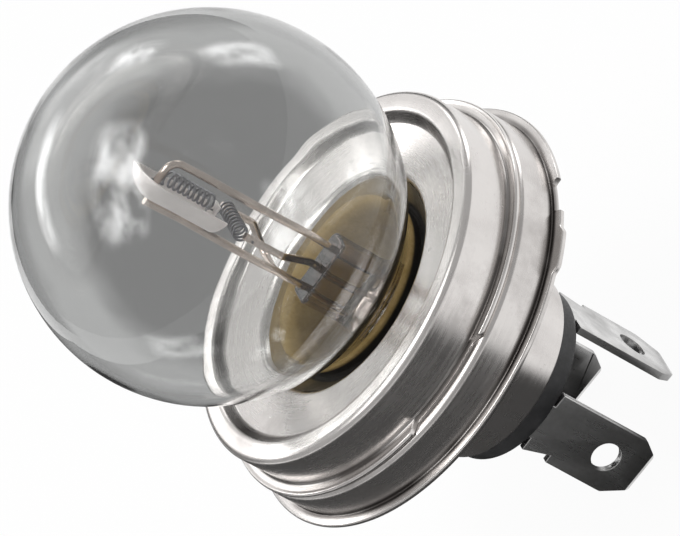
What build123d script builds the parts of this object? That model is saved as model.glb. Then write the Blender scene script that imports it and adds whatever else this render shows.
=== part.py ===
from build123d import *
import os
from math import cos, radians, sin, sqrt

# Car headlight bulb with a prefocus cap, a dipped and a main filament, and three plug blades.
# The axis is Z with the globe upwards. Z = 0 is the seat on the front of the reference flange.
# +Y is the top of the bulb in the lamp, where the blade of the dipped filament sits.

# Pressed focus ring with the reference flange
flange_dia = 45.0
ring_sheet = 0.6
spigot_dia = 42.7
ring_height = 4.05
ring_bend = 0.4
shelf_width = 1.6
flange_notch_width = 4.0
flange_notch_depth = 0.8
flange_notch_angle = 69.0
lug_width = 4.6
lug_reach = 0.5
lug_round = 0.4
lug_angle = 52.0

# Pressed front collar
collar_inset = 1.35
collar_sheet = 0.5
collar_depth = 5.55
collar_neck_length = 4.4
collar_hole_dia = 24.1
funnel_depth = 2.9
funnel_bend = 0.6
collar_bend = 0.8
rim_width = 1.9
rim_bend = 0.55
dish_step = 1.0
dish_slope = 0.6
lip_flat = 0.55
lip_inset = 0.05
lip_curl = 0.15
lip_notch_depth = 1.2
lip_notch_start = -8.0
lip_notch_sweep = 30.0

# Blown glass
globe_dia = 38.4
blend_depth = 2.16
glass_wall = 0.8
neck_dia = 17.8
neck_fillet = 4.0
neck_depth = 12.1

# Glass stem
flare_lip = 0.8
flare_slope = 0.8
stem_dia = 9.0
stem_wall = 0.9
stem_height = 6.6
press_width = 7.6
press_thickness = 3.4
press_fillet = 0.8
press_roundness = 0.5
press_rise = 3.1
press_draw = 2.8
exhaust_dia = 2.0
exhaust_bore = 1.1
exhaust_room = 0.25

# Cement between neck, sleeve and funnel
cement_gap = 0.7
cement_depth = 8.0
cement_drop = 0.6
cement_dip = 1.8

# Sleeve and insulator
sleeve_wall = 0.4
sleeve_setback = 2.6
sleeve_roundness = 0.6
insulator_height = 7.9
insulator_reach = 2.7
insulator_round = 1.0
insulator_taper = 0.35
tab_room = 1.2

# Blades
blade_width = 7.0
blade_sheet = 0.8
blade_reach = 12.95
blade_margin = 1.15
blade_wide_length = 9.85
shoulder_step = 0.85
blade_neck_width = 4.0
blade_hole_dia = 3.1
blade_hole_height = 4.55
tip_cut_width = 1.5
tip_cut_length = 2.6
upper_cut_width = 1.1
upper_cut_length = 1.8
tip_round = 0.6
tab_length = 3.6
tab_width = 3.0
blade_bend = 0.5

# Lead wires and solder
lead_dia = 0.8
lead_pitch = 2.5
lead_bend = 1.2
lead_gather = 2.1
solder_inset = 2.8
solder_dia = 2.2
solder_height = 0.9

# Filaments
coil_dia = 1.5
wire_dia = 0.24
coil_turns = 9
wire_sides = 6
main_length = 5.2
main_setback = 3.2
main_joint_rise = 3.9
dip_length = 5.5
dip_advance = 2.8
leg_length = 1.2
leg_bend = 0.3

# Spoon shield under the dipped filament
shield_dia = 6.8
shield_sheet = 0.3
shield_length = 7.0
shield_edge_drop = 0.9
shield_cut_angle = 15.0
filament_drop = 0.75
post_width = 1.4

# Fits
press_clearance = 0.05
slide_clearance = 0.03
weld_gap = 0.02
bore_overrun = 1.0

# Heights worked out from the seat upwards and downwards
rim_top = ring_height + collar_depth
face_top = rim_top - dish_step - dish_slope
sleeve_top = face_top - sleeve_setback
neck_end = face_top - neck_depth
stem_foot = neck_end - flare_lip
tab_top = stem_foot - tab_room
insulator_top = tab_top - blade_sheet
insulator_end = insulator_top - insulator_height
sleeve_end = insulator_end + insulator_reach
blade_tip = insulator_end - blade_reach
shoulder_height = blade_tip + blade_wide_length
press_top = face_top + press_rise
main_joint_height = press_top + main_joint_rise
blend_height = face_top - blend_depth
blend_reach = sqrt((globe_dia / 2 + neck_fillet) ** 2 - (neck_dia / 2 + neck_fillet) ** 2)
globe_centre = blend_height + blend_reach
main_height = globe_centre - main_setback
dip_start = globe_centre + dip_advance - dip_length / 2
dip_end = dip_start + dip_length

# Radii worked out from the glass neck outwards
neck_radius = neck_dia / 2
sleeve_bore = neck_radius + cement_gap
sleeve_radius = sleeve_bore + sleeve_wall
collar_bore = sleeve_radius + slide_clearance
insulator_radius = sleeve_bore - press_clearance
blade_radius = insulator_radius - blade_margin
solder_radius = blade_radius - solder_inset
lead_radius = lead_dia / 2
leg_bore = wire_dia / 2 + weld_gap

# Places of the shield and the dipped filament, carried on the common lead
shield_axis = -lead_pitch + lead_radius + weld_gap + shield_dia / 2
shield_start = dip_start - leg_bend - leg_length / 2 - shield_sheet / 2
coil_radius = coil_dia / 2
dip_axis = shield_axis - filament_drop
dip_leg = dip_axis - coil_radius
main_leg_height = main_height - coil_radius
main_post = main_length / 2 + leg_bend + leg_length / 2


def revolved(profile):
    """Turn a profile drawn as radius and height about the bulb's axis."""
    return revolve(Plane.XZ * profile, Axis.Z)


def pressed_ring(points, bends, sheet):
    """A ring of sheet metal whose middle line runs through the given radius and height points."""
    middle = FilletPolyline(*points, radius=bends)
    outline = middle.wire().offset_2d(sheet / 2, kind=Kind.INTERSECTION, side=Side.BOTH)
    return revolved(make_face(outline))


def wire_along(points, bend):
    """A round lead wire through the given points with equal bends."""
    path = FilletPolyline(*points, radius=bend)
    section = Plane(path @ 0, z_dir=path % 0) * Circle(lead_radius)
    return sweep(section, path=path)


def sector(inner, outer, low, high, start, sweep_angle):
    """A ring sector, used to cut notches into a ring from its edge."""
    profile = Pos(inner, low) * Rectangle(outer - inner, high - low, align=(Align.MIN, Align.MIN))
    turned = revolve(Plane.XZ * profile, Axis.Z, sweep_angle)
    return Rot(0, 0, start) * turned


def make_focus_ring():
    """The spigot ring with its shelf for the collar's lip, its flange, locating notch and lug."""
    half = ring_sheet / 2
    wall = spigot_dia / 2 - half
    rim = flange_dia / 2
    points = [
        (wall - shelf_width + half, ring_height - half),
        (wall, ring_height - half),
        (wall, -half),
        (rim - half, -half),
    ]
    ring = pressed_ring(points, [ring_bend, ring_bend], ring_sheet)
    lug = Pos(rim, 0, -half) * Box(2 * lug_reach, lug_width, ring_sheet)
    lug = fillet(lug.edges().filter_by(Axis.Z), lug_round)
    ring += Rot(0, 0, lug_angle) * lug
    notch = Pos(rim, 0, -half) * Box(2 * flange_notch_depth, flange_notch_width, 2 * ring_sheet)
    ring -= Rot(0, 0, flange_notch_angle) * notch
    return ring


def make_front_collar():
    """The collar: neck on the sleeve, funnel, dished face, rim, skirt and curled lip with its notch."""
    half = collar_sheet / 2
    neck = collar_bore + half
    skirt = spigot_dia / 2 - collar_inset - half
    lip_edge = spigot_dia / 2 - lip_inset
    lip_base = ring_height + half
    points = [
        (neck, face_top - collar_neck_length),
        (neck, face_top - funnel_depth),
        (collar_hole_dia / 2, face_top - half),
        (skirt - rim_width - dish_step, face_top + dish_slope - half),
        (skirt - rim_width, rim_top - half),
        (skirt, rim_top - half),
        (skirt, lip_base),
        (skirt + lip_flat + rim_bend, lip_base),
        (lip_edge - half, lip_base + lip_curl),
    ]
    bends = [funnel_bend, collar_bend, rim_bend, rim_bend, rim_bend, rim_bend, rim_bend]
    collar = pressed_ring(points, bends, collar_sheet)
    notch = sector(
        lip_edge - lip_notch_depth,
        lip_edge + collar_sheet,
        ring_height,
        ring_height + collar_sheet + lip_curl + half,
        lip_notch_start,
        lip_notch_sweep,
    )
    return collar - notch


def bulb_outline(grow):
    """The globe and neck as a solid of revolution, grown or shrunk by a wall."""
    globe = globe_dia / 2 + grow
    neck = neck_radius + grow
    blend = neck_fillet - grow
    share = globe / (globe + blend)
    on_globe = ((neck + blend) * share, globe_centre - blend_reach * share)
    blend_centre = (neck + blend, blend_height)
    on_neck = (neck, blend_height)
    turn = radians(45)
    side = (globe * cos(turn), globe_centre + globe * sin(turn))
    middle = Vector(on_globe[0] - blend_centre[0], on_globe[1] - blend_centre[1])
    middle = (middle.normalized() + Vector(-1, 0)).normalized() * blend
    on_blend = (blend_centre[0] + middle.X, blend_centre[1] + middle.Y)
    top = (0, globe_centre + globe)
    outline = [
        ThreePointArc(top, side, on_globe),
        ThreePointArc(on_globe, on_blend, on_neck),
        Line(on_neck, (neck, neck_end)),
        Line((neck, neck_end), (0, neck_end)),
        Line((0, neck_end), top),
    ]
    return revolved(make_face(Curve() + outline))


def make_glass_envelope():
    """The blown ball, open at the end of its neck."""
    inside = bulb_outline(-glass_wall)
    return bulb_outline(0) - inside


def make_glass_stem():
    """Flare, tube and press in one piece, with a sealed exhaust tube inside the flare."""
    stem = stem_dia / 2
    bore = stem - stem_wall
    mouth = neck_radius - glass_wall
    tube_top = neck_end + stem_height
    curve_top = neck_end + stem_height / 2
    flare_start = (-1, flare_slope)
    outside = [
        Line((0, stem_foot), (neck_radius, stem_foot)),
        Line((neck_radius, stem_foot), (neck_radius, neck_end)),
        Line((neck_radius, neck_end), (mouth, neck_end)),
        Spline((mouth, neck_end), (stem, curve_top), tangents=[flare_start, (0, 1)]),
        Line((stem, curve_top), (stem, tube_top)),
        Line((stem, tube_top), (0, tube_top)),
        Line((0, tube_top), (0, stem_foot)),
    ]
    tube = revolved(make_face(Curve() + outside))
    inside = [
        Line((0, stem_foot), (mouth, stem_foot)),
        Spline((mouth, stem_foot), (bore, curve_top), tangents=[flare_start, (0, 1)]),
        Line((bore, curve_top), (bore, tube_top)),
        Line((bore, tube_top), (0, tube_top)),
        Line((0, tube_top), (0, stem_foot)),
    ]
    hollow = revolved(make_face(Curve() + inside))
    press_face = RectangleRounded(press_thickness, press_width, press_fillet)
    press_foot = tube_top + press_draw
    draw = loft([Plane.XY.offset(tube_top) * Circle(stem), Plane.XY.offset(press_foot) * press_face])
    press = extrude(Plane.XY.offset(press_foot) * press_face, press_top - press_foot)
    press = fillet(press.edges().group_by(Axis.Z)[-1], press_fillet * press_roundness)
    spot = Pos(-lead_radius - exhaust_room - exhaust_dia / 2, lead_pitch / 2, stem_foot)
    tip = Pos(0, 0, exhaust_dia / 2)
    exhaust = tip * Cylinder(exhaust_dia / 2, tube_top - stem_foot - exhaust_dia / 2, align=on_floor)
    exhaust += tip * Sphere(exhaust_dia / 2)
    bore_pin = tip * Cylinder(exhaust_bore / 2, tube_top - stem_foot - exhaust_dia / 2, align=on_floor)
    exhaust -= bore_pin
    glass = tube - hollow + spot * exhaust + draw + press
    for place in (-lead_pitch, 0, lead_pitch):
        hole = Pos(0, place, neck_end) * Cylinder(
            lead_radius + weld_gap, press_top - neck_end + bore_overrun, align=on_floor
        )
        glass -= hole
    return glass


def funnel_radius(height):
    """Radius of the cement's edge against the collar's funnel at a height."""
    foot = collar_bore + collar_sheet / 2
    slope = (collar_hole_dia / 2 - foot) / (funnel_depth - collar_sheet / 2)
    middle = foot + (height - face_top + funnel_depth) * slope
    return middle - (collar_sheet / 2 + weld_gap) * sqrt(1 + slope**2)


def make_cement_ring():
    """Cement that fills the gap round the neck and the collar's funnel, with a hollow front."""
    low = sleeve_top - cement_depth
    edge = face_top - cement_drop
    inner = neck_radius - glass_wall / 2
    outline = Polyline(
        (inner, low),
        (sleeve_bore, low),
        (sleeve_bore, sleeve_top),
        (funnel_radius(sleeve_top), sleeve_top),
        (funnel_radius(edge), edge),
        (neck_radius, edge - cement_dip),
        (inner, edge - cement_dip),
        close=True,
    )
    return revolved(make_face(outline)) - bulb_outline(weld_gap)


def make_base_sleeve():
    """The drawn tube round the neck and the insulator."""
    section = Rectangle(sleeve_wall, sleeve_top - sleeve_end, align=(Align.MIN, Align.MIN))
    sleeve = revolved(Pos(sleeve_bore, sleeve_end) * section)
    rear_edges = sleeve.edges().filter_by(GeomType.CIRCLE).group_by(Axis.Z)[0]
    return fillet(rear_edges.sort_by(SortBy.RADIUS)[-1], sleeve_wall * sleeve_roundness)


def blade_outline():
    """The flat shape of a blade, width across and height up: rounded tip, relief at the lower side, neck."""
    half = blade_width / 2
    neck = blade_neck_width / 2
    points = [
        (-half + tip_cut_width, blade_tip),
        (half - upper_cut_width, blade_tip),
        (half, blade_tip + upper_cut_length),
        (half, insulator_end),
        (neck, insulator_end),
        (neck, insulator_top),
        (-neck, insulator_top),
        (-neck, insulator_end),
        (-half, insulator_end),
        (-half + shoulder_step, shoulder_height),
        (-half, shoulder_height),
        (-half, blade_tip + tip_cut_length),
    ]
    outline = make_face(Polyline(*points, close=True))
    corners = outline.vertices().sort_by(Axis.Y)[:4]
    return fillet(corners, tip_round)


def make_terminal():
    """A blade on the +X side: a flat strip through the insulator, bent inwards to a soldering tab."""
    strip = extrude(Plane.YZ * blade_outline(), blade_sheet / 2, both=True)
    hole = Plane.YZ * Pos(0, blade_tip + blade_hole_height) * Circle(blade_hole_dia / 2)
    strip -= extrude(hole, blade_sheet, both=True)
    bend = Pos(blade_sheet / 2, 0, insulator_top) * Box(
        blade_sheet, blade_neck_width, blade_sheet, align=(Align.MAX, Align.CENTER, Align.MIN)
    )
    outer_edge = bend.edges().filter_by(Axis.Y).sort_by(lambda edge: edge.center().X + edge.center().Z)[-1]
    bend = fillet(outer_edge, blade_bend)
    tab = Pos(-blade_sheet / 2, 0, insulator_top) * Box(
        tab_length, tab_width, blade_sheet, align=(Align.MAX, Align.CENTER, Align.MIN)
    )
    drill = Pos(-solder_inset, 0, insulator_top) * Cylinder(
        lead_radius + weld_gap, blade_sheet + bore_overrun, align=on_floor
    )
    return Pos(blade_radius, 0, 0) * (strip + bend + tab - drill)


def make_insulator():
    """The moulded disc in the sleeve's rear end, tapered where it stands out, with a slot for each blade."""
    outline = Polyline(
        (0, insulator_top),
        (insulator_radius, insulator_top),
        (insulator_radius, sleeve_end),
        (insulator_radius - insulator_taper, insulator_end),
        (0, insulator_end),
        close=True,
    )
    profile = make_face(outline)
    rear_corner = profile.vertices().group_by(Axis.Y)[0].sort_by(Axis.X)[-1]
    disc = revolved(fillet(rear_corner, insulator_round))
    slot = Pos(blade_radius, 0, insulator_end) * Box(
        blade_sheet + 2 * press_clearance,
        blade_neck_width + 2 * press_clearance,
        insulator_height,
        align=(Align.CENTER, Align.CENTER, Align.MIN),
    )
    for place in blade_places:
        disc -= place(slot)
    return disc


def make_solder():
    """A cap of solder on a tab, with the lead through it."""
    span = solder_dia / 2
    ball_radius = (span**2 + solder_height**2) / (2 * solder_height)
    ball = Pos(0, 0, solder_height - ball_radius) * Sphere(ball_radius)
    keep = Cylinder(solder_dia, solder_height + bore_overrun, align=on_floor)
    drill = Cylinder(lead_radius + weld_gap, solder_height + bore_overrun, align=on_floor)
    return Pos(solder_radius, 0, tab_top) * (ball & keep - drill)


def lead_route(direction, press_place):
    """Points of a lead from its tab, straight up through the solder, then in to its place in the press."""
    turn_in = tab_top + solder_height + lead_bend / 2
    straight = neck_end + lead_gather
    foot = Vector(solder_radius, 0, 0).rotate(Axis.Z, direction)
    return [
        (foot.X, foot.Y, insulator_top),
        (foot.X, foot.Y, turn_in),
        (0, press_place, straight),
    ]


def coil(axis_length):
    """A filament coil along +Z from the origin, with a straight leg at each end on its -Y side."""
    helix = Helix(axis_length / coil_turns, axis_length, coil_radius)
    low_knee = Vector(coil_radius, -leg_bend, -leg_bend)
    high_knee = Vector(coil_radius, leg_bend, axis_length + leg_bend)
    along = Vector(0, 0, leg_length)
    pieces = [
        Line(low_knee - along, low_knee),
        Spline(low_knee, helix @ 0, tangents=[along, helix % 0]),
        helix,
        Spline(helix @ 1, high_knee, tangents=[helix % 1, along]),
        Line(high_knee, high_knee + along),
    ]
    path = Wire([piece.edge() for piece in pieces])
    section = Plane(path @ 0, z_dir=path % 0) * RegularPolygon(wire_dia / 2, wire_sides)
    return Rot(0, 0, -90) * sweep(section, path=path)


def make_filament_dip():
    """The coil along the axis over the shield."""
    return Pos(0, dip_axis, dip_start) * coil(dip_length)


def make_filament_main():
    """The coil across the axis, from side to side."""
    return Pos(-main_length / 2, 0, main_height) * (Plane.YZ * coil(main_length))


def leg_drill():
    """A pin that drills a lead for a filament's leg, along +Z and centred."""
    return Cylinder(leg_bore, 2 * lead_dia)


def make_lead_dip():
    """From the top blade up past the shield, then bent down onto the front leg of its coil."""
    tip_height = dip_end + leg_bend + leg_length / 2
    points = lead_route(90, lead_pitch)
    points += [
        (0, lead_pitch, press_top + lead_bend),
        (leg_bend, lead_pitch, tip_height),
        (leg_bend, dip_leg - lead_radius, tip_height),
    ]
    lead = wire_along(points, lead_bend)
    return lead - Pos(leg_bend, dip_leg, tip_height) * leg_drill()


def make_lead_main():
    """From the +X blade through the middle of the press to one end of the main coil."""
    points = lead_route(0, 0)
    points += [
        (0, 0, press_top + lead_bend),
        (main_post, leg_bend, (press_top + main_leg_height) / 2 + lead_bend),
        (main_post, leg_bend, main_leg_height + lead_dia),
    ]
    lead = wire_along(points, lead_bend)
    return lead - Pos(main_post, leg_bend, main_leg_height) * Rot(0, 90, 0) * leg_drill()


def make_main_support():
    """From the side of the common lead to the other end of the main coil."""
    points = [
        (-lead_radius - weld_gap, -lead_pitch, main_joint_height),
        (-main_post, -lead_pitch, main_joint_height),
        (-main_post, -leg_bend, (main_joint_height + main_leg_height) / 2),
        (-main_post, -leg_bend, main_leg_height + lead_dia),
    ]
    support = wire_along(points, lead_bend)
    return support - Pos(-main_post, -leg_bend, main_leg_height) * Rot(0, 90, 0) * leg_drill()


def make_lead_common():
    """From the -X blade up along the back of the shield, which it carries."""
    points = lead_route(180, -lead_pitch)
    points.append((0, -lead_pitch, shield_start + shield_length))
    return wire_along(points, lead_bend)


def make_dip_shield():
    """A trough with a round front end, one edge level and one cut lower, and a post for the coil's leg."""
    outer = shield_dia / 2
    inner = outer - shield_sheet
    body = Cylinder(outer, shield_length, align=on_floor) + Pos(0, 0, shield_length) * Sphere(outer)
    room = Cylinder(inner, shield_length, align=on_floor) + Pos(0, 0, shield_length) * Sphere(inner)
    reach = shield_length + shield_dia
    lower = Pos(0, -shield_edge_drop, 0) * Box(
        2 * shield_dia, shield_dia, reach, align=(Align.CENTER, Align.MAX, Align.MIN)
    )
    cut = Rot(0, 0, shield_cut_angle) * Box(
        shield_dia, shield_dia, reach, align=(Align.MAX, Align.MIN, Align.MIN)
    )
    cut = Pos(0, -shield_edge_drop, 0) * cut
    trough = (body - room) & lower
    trough -= cut
    post_top = dip_leg - shield_axis + wire_dia + 2 * shield_sheet
    post = Pos(-leg_bend, post_top, 0) * Box(
        post_width, post_top + inner, shield_sheet, align=(Align.CENTER, Align.MAX, Align.MIN)
    )
    post -= Pos(-leg_bend, dip_leg - shield_axis, 0) * leg_drill()
    post &= Cylinder((inner + outer) / 2, shield_sheet, align=on_floor)
    return Pos(0, shield_axis, shield_start) * (trough + post)


def on_main_side(piece):
    """The blade place on the +X side."""
    return piece


def on_dip_side(piece):
    """The blade place at the top, with the shoulder turned to -X."""
    return Rot(0, 0, 90) * mirror(piece, Plane.XZ)


def on_common_side(piece):
    """The blade place on the -X side, a mirror image of the +X side."""
    return mirror(piece, Plane.YZ)


on_floor = (Align.CENTER, Align.CENTER, Align.MIN)
blade_places = (on_main_side, on_dip_side, on_common_side)

parts = {
    "focus_ring": make_focus_ring(),
    "front_collar": make_front_collar(),
    "base_sleeve": make_base_sleeve(),
    "insulator": make_insulator(),
    "glass_envelope": make_glass_envelope(),
    "glass_stem": make_glass_stem(),
    "cement_ring": make_cement_ring(),
    "lead_common": make_lead_common(),
    "lead_main": make_lead_main(),
    "lead_dip": make_lead_dip(),
    "main_support": make_main_support(),
    "filament_main": make_filament_main(),
    "filament_dip": make_filament_dip(),
    "dip_shield": make_dip_shield(),
}

terminal = make_terminal()
solder = make_solder()
for name, place in zip(("main", "dip", "common"), blade_places):
    parts["terminal_" + name] = place(terminal)
    parts["solder_" + name] = place(solder)

os.makedirs("parts", exist_ok=True)
for name, shape in parts.items():
    export_step(shape, "parts/" + name + ".step")
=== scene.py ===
from math import atan2, cos, pi, radians, sin, sqrt, tan

import bmesh
import bpy
from bpy.props import FloatProperty, FloatVectorProperty, IntProperty, PointerProperty
from mathutils import Matrix, Vector


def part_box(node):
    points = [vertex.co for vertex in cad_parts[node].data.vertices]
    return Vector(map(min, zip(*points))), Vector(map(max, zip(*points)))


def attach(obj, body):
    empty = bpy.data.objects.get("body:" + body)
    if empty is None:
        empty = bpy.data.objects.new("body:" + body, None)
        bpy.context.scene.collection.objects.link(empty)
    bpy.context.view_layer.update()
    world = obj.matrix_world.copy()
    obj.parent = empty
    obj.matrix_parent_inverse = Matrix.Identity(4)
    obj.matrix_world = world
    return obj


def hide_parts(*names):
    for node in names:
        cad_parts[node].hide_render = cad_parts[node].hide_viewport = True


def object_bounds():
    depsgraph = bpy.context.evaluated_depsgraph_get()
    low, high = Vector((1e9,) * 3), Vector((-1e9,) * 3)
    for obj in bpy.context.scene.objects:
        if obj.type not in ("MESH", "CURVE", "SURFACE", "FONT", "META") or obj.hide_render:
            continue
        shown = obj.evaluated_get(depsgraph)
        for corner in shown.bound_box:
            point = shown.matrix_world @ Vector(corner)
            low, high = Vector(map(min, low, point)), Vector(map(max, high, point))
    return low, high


bl_info = {
    "name": "Headlight bulb",
    "version": (1, 0, 0),
    "blender": (4, 5, 0),
    "location": "3D View > Sidebar > Bulb",
    "description": "Dresses a prefocus headlight bulb: globe, cap, filaments, insulator and blades",
    "category": "Object",
}

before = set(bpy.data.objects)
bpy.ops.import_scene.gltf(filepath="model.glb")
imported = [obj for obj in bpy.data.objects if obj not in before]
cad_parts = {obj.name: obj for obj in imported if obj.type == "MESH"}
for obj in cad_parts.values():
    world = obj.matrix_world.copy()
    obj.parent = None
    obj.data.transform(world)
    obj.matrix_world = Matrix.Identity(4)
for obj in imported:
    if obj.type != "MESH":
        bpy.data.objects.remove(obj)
CAD_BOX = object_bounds()
BODY = "root"
MM = 0.001
WHITE = (1.0, 1.0, 1.0, 1.0)


# Properties

def length(name, description, millimetres):
    """A length that is shown in the scene's own unit."""
    return FloatProperty(
        name=name,
        description=description,
        default=millimetres * MM,
        unit="LENGTH",
        subtype="DISTANCE",
        precision=5,
    )


def angle(name, description, degrees):
    """An angle that is shown in degrees."""
    return FloatProperty(
        name=name,
        description=description,
        default=radians(degrees),
        unit="ROTATION",
        subtype="ANGLE",
    )


def colour(name, description, *default):
    """A colour with no alpha."""
    return FloatVectorProperty(
        name=name,
        description=description,
        default=default,
        size=3,
        min=0.0,
        max=1.0,
        subtype="COLOR",
    )


def share(name, description, default, top=1.0):
    """A plain number from nothing upwards."""
    return FloatProperty(name=name, description=description, default=default, min=0.0, max=top)


class BulbCap(bpy.types.PropertyGroup):
    """Pressed steel of the cap."""

    flange_dia: length("Flange", "Across the reference flange", 45.0)
    ring_sheet: length("Ring sheet", "Thickness of the focus ring", 0.6)
    spigot_dia: length("Spigot", "Across the focus ring's wall", 42.7)
    ring_height: length("Ring height", "From the seat to the top of the focus ring", 4.05)
    ring_bend: length("Ring bend", "Bend in the middle of the ring's sheet", 0.4)
    shelf_width: length("Shelf", "Inward reach of the ring's top", 1.6)
    notch_width: length("Notch width", "Locating notch in the flange", 4.0)
    notch_depth: length("Notch depth", "Locating notch in the flange", 0.8)
    notch_angle: angle("Notch place", "Direction of the locating notch", 69.0)
    lug_width: length("Lug width", "Locating lug on the flange", 4.6)
    lug_reach: length("Lug reach", "How far the lug stands out of the flange", 0.5)
    lug_angle: angle("Lug place", "Direction of the locating lug", 52.0)
    collar_sheet: length("Collar sheet", "Thickness of the front collar", 0.5)
    collar_inset: length("Collar inset", "From the spigot in to the collar's skirt", 1.35)
    collar_depth: length("Collar depth", "From the focus ring up to the rim", 5.55)
    neck_length: length("Collar neck", "From the face down to the end of the collar's neck", 4.4)
    collar_bore: length("Collar bore", "Radius inside the collar's neck", 10.03)
    hole_dia: length("Hole", "Across the middle of the sheet at the funnel's mouth", 24.1)
    funnel_depth: length("Funnel", "From the face down to the foot of the funnel", 2.9)
    funnel_bend: length("Funnel bend", "Bend between neck and funnel", 0.6)
    collar_bend: length("Collar bend", "Bend between funnel and face", 0.8)
    rim_width: length("Rim", "Width of the collar's rim", 1.9)
    rim_bend: length("Rim bend", "Bends of the rim and lip", 0.55)
    dish_step: length("Dish step", "Drop from the rim into the dish", 1.0)
    dish_slope: length("Dish slope", "Fall of the dish towards the hole", 0.6)
    lip_flat: length("Lip flat", "Flat part of the collar's lip", 0.55)
    lip_inset: length("Lip inset", "From the spigot in to the lip's edge", 0.05)
    lip_curl: length("Lip curl", "Rise of the lip's edge", 0.15)
    lip_notch_depth: length("Lip notch", "Depth of the lip's long notch", 1.2)
    lip_notch_middle: angle("Lip notch place", "Direction of the lip's notch", 7.0)
    lip_notch_sweep: angle("Lip notch sweep", "Sweep of the lip's notch", 30.0)
    sleeve_wall: length("Sleeve wall", "Thickness of the base sleeve", 0.4)
    sheet_waves: length("Sheet waves", "Unevenness of the pressed sheet", 0.03)


class BulbGlass(bpy.types.PropertyGroup):
    """Blown glass and cement."""

    globe_dia: length("Globe", "Across the globe", 38.4)
    glass_wall: length("Wall", "Thickness of the blown wall", 0.8)
    neck_dia: length("Neck", "Across the glass neck", 17.8)
    neck_fillet: length("Neck fillet", "Sweep from the globe into the neck", 4.0)
    blend_depth: length("Sweep depth", "From the cap's face down to the end of the sweep", 2.16)
    waviness: length("Waviness", "Unevenness of the blown wall", 0.06)
    cement_dip: length("Cement dip", "Fall of the cement from its edge to the groove", 1.7)
    cement_waves: length("Cement waves", "Unevenness of the cement", 0.06)
    film_wall: length("Film", "Thickness of the cement drawn up the neck", 0.22)
    film_rise: length("Film rise", "Height of the film on the neck's sweep", 2.1)
    # Painted shadow: the film's dark part and its darkest side stand for shade in the gap round the
    # neck
    shadow_rise: length("Soot", "Height of the dark part of the film", 1.3)
    shadow_side: angle("Soot side", "Direction of the side that is darkest", 18.0)


class BulbWire(bpy.types.PropertyGroup):
    """Filaments."""

    wire_dia: length("Wire", "Across the filament wire", 0.24)
    coil_dia: length("Coil", "Across the coil's middle line", 1.5)
    turns: IntProperty(name="Turns", description="Turns in each coil", default=9, min=1)
    main_length: length("Main coil", "Length of the main coil", 5.2)
    dip_length: length("Dipped coil", "Length of the dipped coil", 5.5)
    leg_length: length("Leg", "Straight leg at each end of a coil", 1.2)
    leg_bend: length("Leg bend", "Room for the bend between coil and leg", 0.3)


class BulbFinish(bpy.types.PropertyGroup):
    """Colours of the finishes."""

    steel: colour("Steel", "Bright plate on the cap", 0.76, 0.73, 0.71)
    steel_stain: colour("Stain", "Dull places of the plate", 0.50, 0.47, 0.455)
    # Painted shade: near-black colour laid along the cap's inner corners
    corner_shade: colour("Grime", "Dirt along the corners of the cap", 0.09, 0.08, 0.075)
    blade: colour("Blade", "Plate on the blades", 0.74, 0.735, 0.73)
    blade_stain: colour("Blade stain", "Dull places on the blades", 0.46, 0.455, 0.45)
    glass: colour("Glass", "Body of the blown glass", 0.985, 0.988, 0.985)
    glass_tint: colour("Glass tint", "Tint of the blown glass where it is thick", 0.55, 0.57, 0.56)
    stem: colour("Stem glass", "Body of the stem's glass", 0.82, 0.77, 0.73)
    stem_tint: colour("Stem tint", "Tint of the stem's glass where it is thick", 0.5, 0.4, 0.36)
    cement: colour("Cement", "Light grain of the cement", 0.72, 0.53, 0.24)
    cement_dark: colour("Dark cement", "Dark grain of the cement", 0.52, 0.355, 0.13)
    # Painted shadow: near-black cement colour where the gap round the neck lies in shade
    groove_shadow: colour("Soot", "Darkened cement in the groove", 0.012, 0.010, 0.008)
    lead: colour("Lead wire", "Drawn wire of the leads", 0.70, 0.62, 0.56)
    tungsten: colour("Filament", "Coiled filament wire", 0.36, 0.36, 0.38)
    shield: colour("Shield", "Sheet of the shield", 0.95, 0.90, 0.88)
    moulding: colour("Moulding", "Black insulator", 0.022, 0.022, 0.023)
    solder: colour("Solder", "Solder on the tabs", 0.62, 0.62, 0.64)


class BulbStage(bpy.types.PropertyGroup):
    """Floor, lamps and camera."""

    floor: colour("Floor", "Colour of the floor", 0.85, 0.85, 0.85)
    floor_white: share("White ground", "Share of plain white in the floor as it is seen", 0.95)
    floor_in_glass: share("Ground in glass", "Floor seen through the globe's middle", 0.165)
    floor_at_edge: share("Ground at the edge", "Floor seen through the globe's edge", 0.45)
    room: share("Room", "Level of the grey room", 0.45)
    key_level: share("Key lamp", "Brightness of the lamp overhead", 4.4, 20.0)
    side_level: share("Side lamp", "Brightness of the strip lamp behind on the left", 3.6, 20.0)
    back_level: share("Back panel", "Brightness of the panel behind", 0.62, 20.0)
    window_level: share("Window", "Brightness of the window on the right", 2.6, 20.0)
    skylight_level: share("Skylight", "Brightness of the skylight behind", 2.4, 20.0)
    distance: length("Distance", "From the camera to the cap", 600.0)
    lens: FloatProperty(
        name="Lens", description="Focal length in millimetres", default=324.15, min=1.0
    )
    bearing: angle("Bearing", "Direction of the camera round the bulb", 18.0)
    tilt: angle("Tilt", "Height of the camera over the floor", 31.19)
    roll: angle("Roll", "Turn of the camera about its own line of sight", -61.18)
    aim_across: length("Aim across", "Picture's middle to the right of the origin", -6.356)
    aim_up: length("Aim up", "Picture's middle above the origin", 4.602)


class BulbSettings(bpy.types.PropertyGroup):
    """All sizes and colours of the bulb."""

    cap: PointerProperty(type=BulbCap)
    glass: PointerProperty(type=BulbGlass)
    wire: PointerProperty(type=BulbWire)
    finish: PointerProperty(type=BulbFinish)
    stage: PointerProperty(type=BulbStage)


def settings():
    """The sizes and colours as they are set in this scene."""
    return bpy.context.scene.bulb


# Node helpers

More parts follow.
